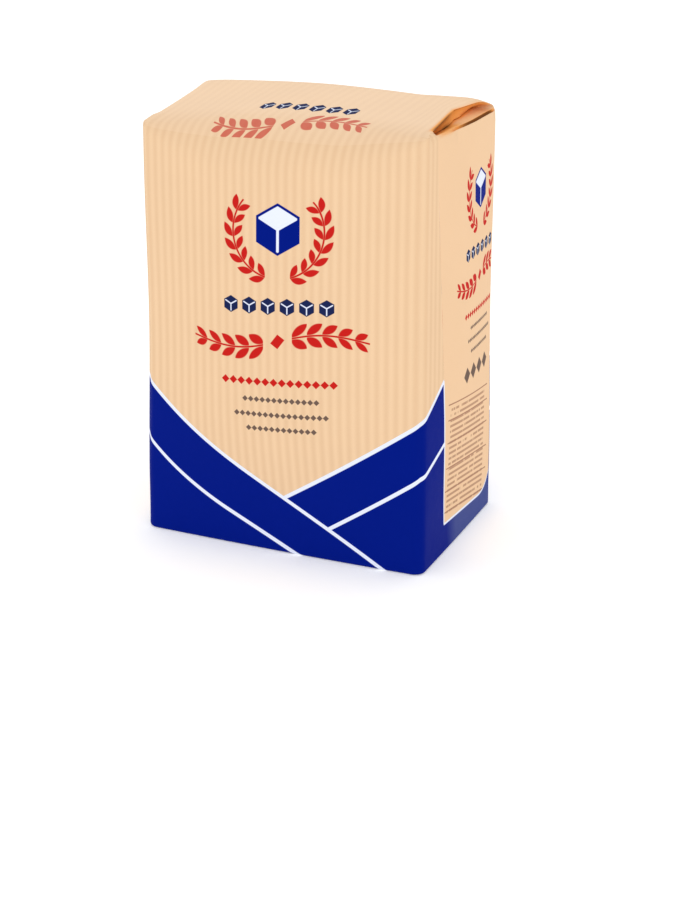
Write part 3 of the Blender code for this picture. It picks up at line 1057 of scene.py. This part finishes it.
def paper_finish(tree, colour, flat):
    """Fibres in the colour and the surface, soft crumples, and the shader itself."""
    fibres = add(tree, "TexNoise", flat, None, *FIBRE_NOISE)
    blotches = add(tree, "TexNoise", flat, None, *BLOTCH_NOISE)
    uneven = ramp(tree, fibres, FIBRE_TONE, ramp(tree, blotches, BLOTCH_TONE, 0.0))
    light = ramp(tree, uneven, 1.0, PAPER_TONE)
    tinted = add(tree, "VectorMath", colour, light, operation="MULTIPLY")
    crumple = add(tree, "TexNoise", flat, None, *CRUMPLE_NOISE)
    bumped = add(tree, "Bump", CRUMPLE_BUMP, CRUMPLE_DEPTH, None, crumple)
    bumped.inputs["Filter Width"].default_value = 1.0
    grained = add(tree, "Bump", FIBRE_BUMP, FIBRE_DEPTH)
    tree.links.new(fibres.outputs[0], grained.inputs["Height"])
    tree.links.new(bumped.outputs[0], grained.inputs["Normal"])
    shader = tree.nodes["Principled BSDF"]
    tree.links.new(tinted.outputs[0], shader.inputs["Base Color"])
    tree.links.new(grained.outputs[0], shader.inputs["Normal"])
    rough = ramp(tree, fibres, FIBRE_ROUGHNESS, PAPER_ROUGHNESS - FIBRE_ROUGHNESS / 2)
    tree.links.new(rough.outputs[0], shader.inputs["Roughness"])
    shader.inputs["IOR"].default_value = PAPER_IOR
    shader.inputs["Specular IOR Level"].default_value = PAPER_GLOSS
    shader.inputs["Metallic"].default_value = 0.0


def new_finish(name):
    """An empty material and its node tree."""
    material = bpy.data.materials.new(name)
    material.use_nodes = True
    return material, material.node_tree


# %% [markdown]
# ## The printed walls
# One design goes round the pack twice: front and right side, then back and left side. So the
# place round the pack is first folded into one repeat. Where the front's print ends, a plain
# panel with thin rules begins. The label is drawn once, and its place, size and slope are
# switched between the front and that panel.

# %% Where the walls' print lies: each label as (across, up, width, height, slope)
REPEAT = 2000.0 * (FLAT_HALF_W + FLAT_HALF_D)
BACK_START = 91.7
FRONT_LABEL = (1.9, 74.9, 1.0, 1.0, 0.08)
SIDE_LABEL = (79.3, 83.3, 0.72, 0.80, -0.05)
FRONT_END = 53.0
FRONT_END_UP = 50.0
FRONT_END_SLANT = 0.08
FRONT_END_SOFT = 0.3


def switch(tree, which, low, high):
    """low where which is 0 and high where it is 1."""
    return add(tree, "MapRange", which, 0.0, 1.0, low, high)


def label_places(tree, across, up, which):
    """Place within the label, across and up from its row of cubes."""
    middle, level, wide, tall, slope = (
        switch(tree, which, front, side) for front, side in zip(FRONT_LABEL, SIDE_LABEL)
    )
    run = add(tree, "Math", across, middle, operation="SUBTRACT")
    above = add(tree, "Math", up, level, operation="SUBTRACT")
    rise = add(tree, "Math", above, both(tree, run, slope), operation="SUBTRACT")
    x = add(tree, "Math", run, wide, operation="DIVIDE")
    y = add(tree, "Math", rise, tall, operation="DIVIDE")
    return x, y


print("the print repeats every", round(REPEAT, 1), "mm round the pack")


# %% Material of the walls
def draw_fold_shade(tree, colour, painted_fold_shade):
    """Painted warm bounced light inside the open fold, and painted deep shade in its creases and under its
    edges.
    """
    colour = print_over(tree, colour, painted_fold_shade, PAINTED_BOUNCE_ORANGE)
    return print_over(tree, colour, ramp(tree, painted_fold_shade, 1.0, -1.0), PAINTED_DEEP_SHADE)


def wall_paper():
    """Coated kraft paper with the walls' print."""
    material, tree = new_finish("coated_kraft_printed")
    flat, u, v, painted_fold_shade = paper_places(tree)
    shifted = ramp(tree, u, 1.0, REPEAT - BACK_START)
    folded = add(tree, "Math", shifted, REPEAT, operation="FLOORED_MODULO")
    across = ramp(tree, folded, 1.0, BACK_START - REPEAT)
    end = ramp(tree, v, -FRONT_END_SLANT, FRONT_END + FRONT_END_UP * FRONT_END_SLANT)
    beyond = add(tree, "Math", across, end, operation="SUBTRACT")
    on_front = within(tree, beyond, 0.0, FRONT_END_SOFT)
    on_side = ramp(tree, on_front, -1.0, 1.0)
    colour = print_over(tree, ink(PEACH_PLAIN), on_front, striped_ground(tree, across))
    x, y = label_places(tree, across, v, on_side)
    colour = draw_label(tree, colour, x, y)
    colour = draw_side_rules(tree, colour, across, v, on_side)
    colour = draw_bands(tree, colour, across, v, on_front)
    colour = draw_side_strip(tree, colour, across, v, beyond, on_side)
    paper_finish(tree, draw_fold_shade(tree, colour, painted_fold_shade), flat)
    return material


walls = wall_paper()
print("nodes in the wall paper:", len(walls.node_tree.nodes))

# %% [markdown]
# ## The roof and the base
# The roof carries the stripes on, with a row of cubes and a red branch. Over its middle lies a
# painted sheen, a lighter peach where the flat roof catches the light, and the branch's red is
# shown weaker under it. The base is plain navy, a little rubbed.

# %% Materials of the roof and the base
ROOF_LABEL = (0.6, 143.0, 0.83, 1.3, 0.06)
# A painted sheen on the roof: where it rises and fades along v, how strong it is, and how much red shows
# under it.
ROOF_SHEEN_FROM = 117.0
ROOF_SHEEN_TO = 141.0
ROOF_SHEEN_FADE_FROM = 165.0
ROOF_SHEEN_FADE_TO = 178.0
ROOF_SHEEN = 0.6
ROOF_INK_UNDER_SHEEN = 0.75
RUB_NOISE = (0.4, 4.0, 0.6)
RUB_SHARE = 0.38
RUB_SOFT = 0.1
RUB_INK = 0.25


def roof_paper():
    """Coated kraft paper with stripes, the branch and the row of cubes, under a painted sheen."""
    material, tree = new_finish("coated_kraft_roof")
    flat, u, v, painted_fold_shade = paper_places(tree)
    middle, level, wide, tall, slope = ROOF_LABEL
    run = ramp(tree, u, 1.0, -middle)
    rise = ramp(tree, run, -slope, ramp(tree, v, 1.0, -level))
    x, y = ramp(tree, run, 1.0 / wide, 0.0), ramp(tree, rise, 1.0 / tall, 0.0)
    # Painted sheen: a lighter peach over the roof's middle, and the red shown weaker under it.
    sheen_rise = add(tree, "MapRange", v, ROOF_SHEEN_FROM, ROOF_SHEEN_TO, 0.0, ROOF_SHEEN)
    sheen_fade = add(tree, "MapRange", v, ROOF_SHEEN_FADE_FROM, ROOF_SHEEN_FADE_TO, 1.0, 0.0)
    colour = print_over(tree, striped_ground(tree, u), both(tree, sheen_rise, sheen_fade), PAINTED_SHEEN_PEACH)
    red = branch(tree, x, ramp(tree, y, 1.0, -BRANCH_UP))
    colour = print_over(tree, colour, ramp(tree, red, ROOF_INK_UNDER_SHEEN, 0.0), RED)
    colour = draw_fold_shade(tree, draw_cube_row(tree, colour, x, y), painted_fold_shade)
    paper_finish(tree, colour, flat)
    return material


def base_paper():
    """Coated kraft paper in solid navy, as the foot of the print runs on under the pack."""
    material, tree = new_finish("coated_kraft_base")
    flat = paper_places(tree)[0]
    worn = add(tree, "TexNoise", flat, None, *RUB_NOISE)
    rubbed = within(tree, ramp(tree, worn, -1.0, 1.0), RUB_SHARE, RUB_SOFT)
    colour = print_over(tree, ink(NAVY), ramp(tree, rubbed, RUB_INK, 0.0), PEACH_PLAIN)
    paper_finish(tree, colour, flat)
    return material


finishes = {"roof": roof_paper(), "base": base_paper()}
for panel in PANELS:
    skin.data.materials.append(finishes.get(panel, walls))
print("materials on the pack:", sorted({material.name for material in skin.data.materials}))

# %% [markdown]
# ## Floor and light
# The photograph was taken in a light tent: white all round, a pale floor and hardly a shadow.
# A white world does the same, and one large soft lamp, high in front and a little to the right,
# shapes the panels. The floor glows faintly, so that it stays white.

# %% Floor
FLOOR_SIZE = 6.0
FLOOR_WHITE = "#FCFCFC"
FLOOR_ROUGHNESS = 0.9
FLOOR_GLOW = 0.20


def pale_floor():
    """A plain pale floor under the pack."""
    bm = bmesh.new()
    bmesh.ops.create_grid(bm, x_segments=1, y_segments=1, size=FLOOR_SIZE / 2)
    mesh = bpy.data.meshes.new("floor")
    bm.to_mesh(mesh)
    bm.free()
    material, tree = new_finish("matt_white_paint")
    shader = tree.nodes["Principled BSDF"]
    shader.inputs["Base Color"].default_value = ink(FLOOR_WHITE)
    shader.inputs["Roughness"].default_value = FLOOR_ROUGHNESS
    shader.inputs["Specular IOR Level"].default_value = 0.0
    shader.inputs["Emission Color"].default_value = (1.0, 1.0, 1.0, 1.0)
    shader.inputs["Emission Strength"].default_value = FLOOR_GLOW
    mesh.materials.append(material)
    return bpy.data.objects.new("floor", mesh)


floor = pale_floor()
bpy.context.scene.collection.objects.link(floor)
print("floor of", FLOOR_SIZE, "m")

# %% World and lamp
WORLD_STRENGTH = 1.0
LAMP_PLACE = Vector((0.25, -1.15, 0.85))
LAMP_SIZE = 0.9
LAMP_POWER = 1.2


def soft_light():
    """An even white world and one large soft lamp."""
    world = bpy.data.worlds.new("light_tent")
    world.use_nodes = True
    background = world.node_tree.nodes["Background"]
    background.inputs["Color"].default_value = (1.0, 1.0, 1.0, 1.0)
    background.inputs["Strength"].default_value = WORLD_STRENGTH
    bpy.context.scene.world = world
    lamp = bpy.data.objects.new("soft_lamp", bpy.data.lights.new("soft_lamp", "AREA"))
    lamp.data.size = LAMP_SIZE
    lamp.data.energy = LAMP_POWER
    lamp.location = LAMP_PLACE
    towards_pack = Vector((0.0, 0.0, HEIGHT / 2)) - LAMP_PLACE
    lamp.rotation_euler = towards_pack.to_track_quat("-Z", "Y").to_euler()
    bpy.context.scene.collection.objects.link(lamp)


soft_light()
bpy.context.scene.view_settings.view_transform = "Standard"
bpy.context.scene.view_settings.look = "None"
print("world strength", WORLD_STRENGTH, "lamp watts", LAMP_POWER)

# %% [markdown]
# ## Camera
# The photograph looks down on the pack from its front right. The camera's place comes from
# fitting the pack's corners to the photograph, and is given as angles and a distance.

# %% Camera at the photograph's viewing angle
CAMERA_AZIMUTH = math.radians(23.35)
CAMERA_ELEVATION = math.radians(20.26)
CAMERA_ROLL = math.radians(-0.04)
CAMERA_DISTANCE = 0.6965
CAMERA_RIGHT = 0.0046156
CAMERA_UP = 0.051295
CAMERA_LENS = 96.0
CAMERA_SHIFT = -0.125
CAMERA_NEAR = 0.01


def photo_camera():
    """A camera that looks at the pack as the photograph does."""
    flat = math.cos(CAMERA_ELEVATION)
    back = Vector((
        math.sin(CAMERA_AZIMUTH) * flat,
        -math.cos(CAMERA_AZIMUTH) * flat,
        math.sin(CAMERA_ELEVATION),
    ))
    right = Vector((math.cos(CAMERA_AZIMUTH), math.sin(CAMERA_AZIMUTH), 0.0))
    up = back.cross(right)
    rolled_right = math.cos(CAMERA_ROLL) * right + math.sin(CAMERA_ROLL) * up
    rolled_up = -math.sin(CAMERA_ROLL) * right + math.cos(CAMERA_ROLL) * up
    turn = Matrix((rolled_right, rolled_up, back)).transposed().to_4x4()
    place_at = back * CAMERA_DISTANCE + rolled_right * CAMERA_RIGHT + rolled_up * CAMERA_UP
    camera = bpy.data.objects.new("photo_camera", bpy.data.cameras.new("photo_camera"))
    camera.matrix_world = Matrix.Translation(place_at) @ turn
    camera.data.lens = CAMERA_LENS
    camera.data.shift_y = CAMERA_SHIFT
    camera.data.clip_start = CAMERA_NEAR
    return camera


camera = photo_camera()
bpy.context.scene.collection.objects.link(camera)
bpy.context.scene.camera = camera
print("camera at", [round(v, 3) for v in camera.matrix_world.translation])
